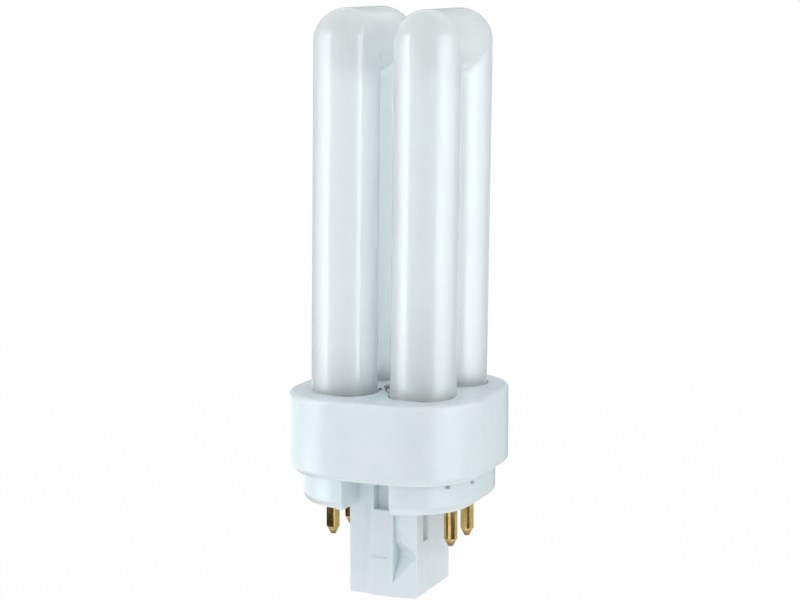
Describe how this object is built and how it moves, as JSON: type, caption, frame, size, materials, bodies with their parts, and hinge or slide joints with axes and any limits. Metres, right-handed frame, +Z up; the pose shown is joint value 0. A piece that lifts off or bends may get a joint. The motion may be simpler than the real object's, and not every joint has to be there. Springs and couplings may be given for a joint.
{
  "type": "u shaped fluorescent bulb",
  "caption": "Plug-in fluorescent lamp: square-topped U shaped tubes in a rounded square collar, on a stepped plug with a keyed post and brass contact pins.",
  "frame": {"origin": "middle of the flat end of the plug's post, which is the lamp's lowest point", "axes": "+Z up along the lamp, +X along the wide spacing of the contact pins, +Y from the limbs with the pinch seals to the limbs with the bridge"},
  "size_m": [0.0354, 0.0354, 0.1031],
  "materials": {
    "coated_glass": "clear gloss over an opaque white coating",
    "collar_plastic": "satin",
    "plug_plastic": "satin",
    "cement": "rough",
    "pin_brass": "bright",
    "lead_metal": "drawn"
  },
  "bodies": {
    "root": {"discharge_tube": "coated_glass", "collar": "collar_plastic", "base_plug": "plug_plastic", "tube_cement": "cement", "contact_pin_front_left": "pin_brass", "lead_wire_front_left": "lead_metal", "contact_pin_front_right": "pin_brass", "lead_wire_front_right": "lead_metal", "contact_pin_back_left": "pin_brass", "lead_wire_back_left": "lead_metal", "contact_pin_back_right": "pin_brass", "lead_wire_back_right": "lead_metal"}
  },
  "joints": []
}
